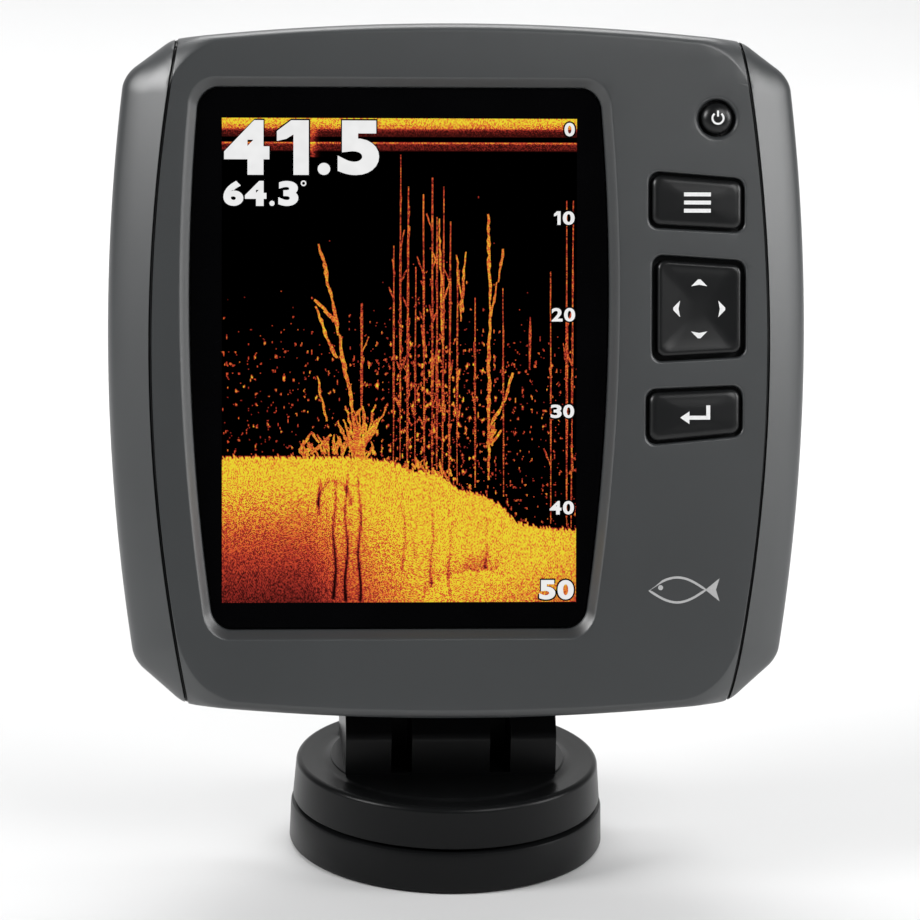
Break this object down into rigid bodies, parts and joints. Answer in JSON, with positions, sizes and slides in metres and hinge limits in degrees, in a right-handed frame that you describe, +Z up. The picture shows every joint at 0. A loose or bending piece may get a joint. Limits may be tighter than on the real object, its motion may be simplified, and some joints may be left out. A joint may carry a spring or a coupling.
{
  "type": "fish finder",
  "caption": "Sonar display head with a portrait screen, keys and a four-way rocker, on a tilt and swivel deck mount.",
  "frame": {"origin": "centre of the base underside, on the swivel axis", "axes": "+Z up along the swivel axis, -Y towards the viewer of the screen, +X to the viewer's right"},
  "size_m": [0.1506, 0.0768, 0.1846],
  "materials": {
    "case_grey": "satin dark grey moulding",
    "black_plastic": "satin black moulding",
    "key_black": "black key caps with a soft gloss",
    "window_black": "black bordered display glass",
    "soft_rubber": "matte black rubber",
    "board": "green circuit board",
    "steel": "plated steel",
    "white_sheet": "white diffuser tray",
    "film": "copper film",
    "contact": "gold plated contacts"
  },
  "bodies": {
    "base": {"base_disc": "black_plastic", "base_pad": "soft_rubber", "swivel_ring": "soft_rubber", "swivel_washer": "steel"},
    "turntable": {"turntable": "black_plastic", "tilt_bolt": "steel", "tilt_washer_left": "steel", "tilt_washer_right": "steel", "swivel_bolt": "steel"},
    "head": {"front_bezel": "case_grey", "left_side_cap": "case_grey", "right_side_cap": "case_grey", "rear_housing": "black_plastic", "housing_gasket": "soft_rubber", "display_window": "window_black", "window_gasket": "soft_rubber", "lcd_panel": "window_black", "backlight_tray": "white_sheet", "lcd_bracket": "steel", "lcd_ribbon": "film", "keypad_mat": "soft_rubber", "keypad_board": "board", "main_board": "board", "shield_can": "steel", "buzzer": "black_plastic", "power_socket": "black_plastic", "transducer_socket": "black_plastic", "power_contacts": "contact", "transducer_contacts": "contact", "cradle": "black_plastic", "lever_pin": "steel", "lever_spring": "steel", "switch_dome_1": "steel", "switch_dome_2": "steel", "switch_dome_3": "steel", "switch_dome_4": "steel", "switch_dome_5": "steel", "switch_dome_6": "steel", "switch_dome_7": "steel", "housing_screw_1": "steel", "board_screw_1": "steel", "housing_screw_2": "steel", "board_screw_2": "steel", "housing_screw_3": "steel", "board_screw_3": "steel", "housing_screw_4": "steel", "board_screw_4": "steel"},
    "tilt_knob": {"tilt_knob": "black_plastic"},
    "release_lever": {"release_lever": "black_plastic"},
    "power_key": {"power_key": "key_black"},
    "menu_key": {"menu_key": "key_black"},
    "enter_key": {"enter_key": "key_black"},
    "rocker_pivot": {"rocker_pivot": "soft_rubber"},
    "rocker_pad": {"rocker_pad": "key_black"}
  },
  "joints": [
    {"name": "swivel", "type": "hinge", "parent": "base", "child": "turntable", "pos_m": [0, 0, 0.0098], "axis": [0, 0, 1], "continuous": true},
    {"name": "tilt", "type": "hinge", "parent": "turntable", "child": "head", "pos_m": [0, 0.012, 0.045], "axis": [-1, 0, 0], "range_deg": [-12, 28]},
    {"name": "tilt_knob_turn", "type": "hinge", "parent": "turntable", "child": "tilt_knob", "pos_m": [0, 0.012, 0.045], "axis": [1, 0, 0], "continuous": true},
    {"name": "release_lever_press", "type": "hinge", "parent": "head", "child": "release_lever", "pos_m": [0, 0.02985, 0.10351], "axis": [-1, 0, 0], "range_deg": [0, 12], "stiffness_Nm_per_rad": 0.08, "springref_deg": -5.73},
    {"name": "power_key_press", "type": "slide", "parent": "head", "child": "power_key", "axis": [0, 0.9666, -0.2563], "range_m": [0, 0.001], "stiffness_N_per_m": 600, "springref_m": -0.0006},
    {"name": "menu_key_press", "type": "slide", "parent": "head", "child": "menu_key", "axis": [0, 0.9666, -0.2563], "range_m": [0, 0.001], "stiffness_N_per_m": 600, "springref_m": -0.0006},
    {"name": "enter_key_press", "type": "slide", "parent": "head", "child": "enter_key", "axis": [0, 0.9666, -0.2563], "range_m": [0, 0.001], "stiffness_N_per_m": 600, "springref_m": -0.0006},
    {"name": "rocker_up_down", "type": "hinge", "parent": "head", "child": "rocker_pivot", "pos_m": [0.05135, -0.00716, 0.1247], "axis": [1, 0, 0], "range_deg": [-3, 3], "stiffness_Nm_per_rad": 0.4},
    {"name": "rocker_left_right", "type": "hinge", "parent": "rocker_pivot", "child": "rocker_pad", "pos_m": [0.05135, -0.00716, 0.1247], "axis": [0, 0.2563, 0.9666], "range_deg": [-3, 3], "stiffness_Nm_per_rad": 0.4}
  ]
}
